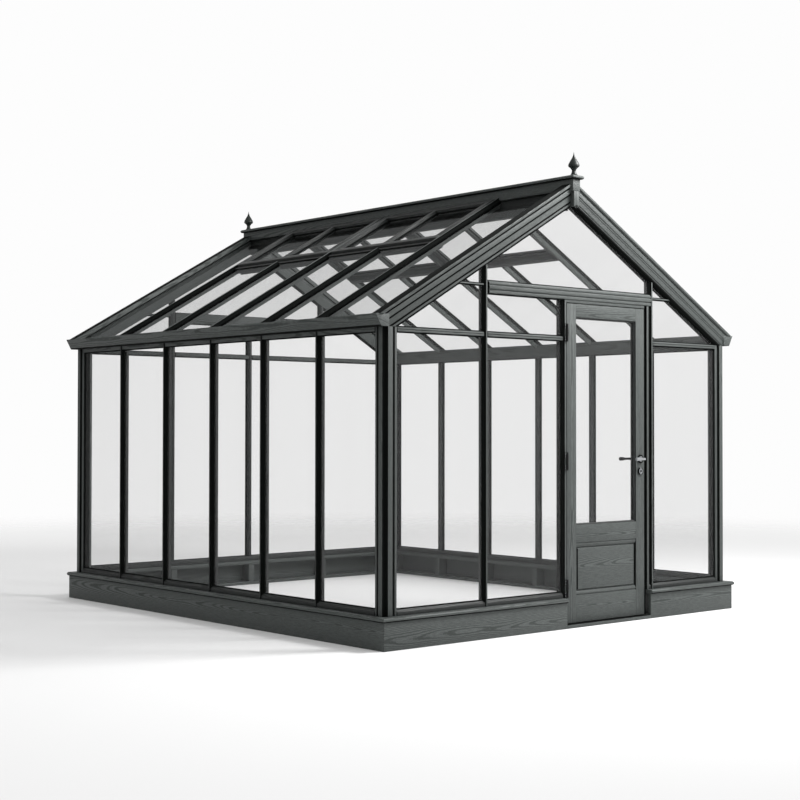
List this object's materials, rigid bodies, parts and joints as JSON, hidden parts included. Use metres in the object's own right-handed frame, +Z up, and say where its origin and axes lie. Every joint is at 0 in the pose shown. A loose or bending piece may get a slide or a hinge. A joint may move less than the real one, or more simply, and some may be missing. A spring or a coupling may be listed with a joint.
{
  "type": "glass greenhouse",
  "caption": "Glazed timber greenhouse with a gable roof on a low boarded base, a half-glazed hinged door in the front gable, roof vents and ridge finials.",
  "frame": {"origin": "centre of the footprint at ground level", "axes": "+Z up, +Y along the ridge away from the door gable, +X across the gable to the right seen from the door side"},
  "size_m": [3.25, 3.618, 2.9854],
  "materials": {
    "painted_timber": "dark grey-green paint over embossed grain, satin",
    "clear_glass": "clear toughened sheet",
    "cast_finial": "near-black green paint",
    "hinge_steel": "black powder coat",
    "lever_metal": "dark satin"
  },
  "bodies": {
    "building": {"gable_base_boards": "painted_timber", "side_base_boards": "painted_timber", "base_plates": "painted_timber", "base_studs": "painted_timber", "gable_sills": "painted_timber", "side_sills": "painted_timber", "threshold": "painted_timber", "corner_posts": "painted_timber", "bottom_rails": "painted_timber", "wall_bars": "painted_timber", "front_mullions": "painted_timber", "back_mullions": "painted_timber", "front_transoms": "painted_timber", "back_transoms": "painted_timber", "eaves_beams": "painted_timber", "gutter_floors": "painted_timber", "gutter_fronts": "painted_timber", "gutter_ends": "painted_timber", "barge_front_left": "painted_timber", "barge_front_right": "painted_timber", "barge_back_left": "painted_timber", "barge_back_right": "painted_timber", "ridge_beam": "painted_timber", "king_blocks": "painted_timber", "ridge_board": "painted_timber", "ridge_cap": "painted_timber", "roof_bars": "painted_timber", "roof_cross_rails": "painted_timber", "vent_rails": "painted_timber", "vent_stiles": "painted_timber", "door_jambs": "painted_timber", "door_frame_head": "painted_timber", "finials": "cast_finial", "side_glass": "clear_glass", "gable_glass": "clear_glass", "roof_glass": "clear_glass", "vent_glass": "clear_glass", "hinge_pins": "hinge_steel"},
    "door": {"door_stiles": "painted_timber", "door_rails": "painted_timber", "door_panel": "painted_timber", "door_glass": "clear_glass", "hinge_leaves": "hinge_steel", "lock_plates": "lever_metal"},
    "handle": {"lever_handle": "lever_metal"}
  },
  "joints": [
    {"name": "door_hinge", "type": "hinge", "parent": "building", "child": "door", "pos_m": [-0.0575, -1.76, 1.045], "axis": [0, 0, -1], "range_deg": [0, 105]},
    {"name": "lever_turn", "type": "hinge", "parent": "door", "child": "handle", "pos_m": [0.645, -1.7305, 1.045], "axis": [0, -1, 0], "range_deg": [0, 40], "stiffness_Nm_per_rad": 1, "springref_deg": -28.65}
  ]
}
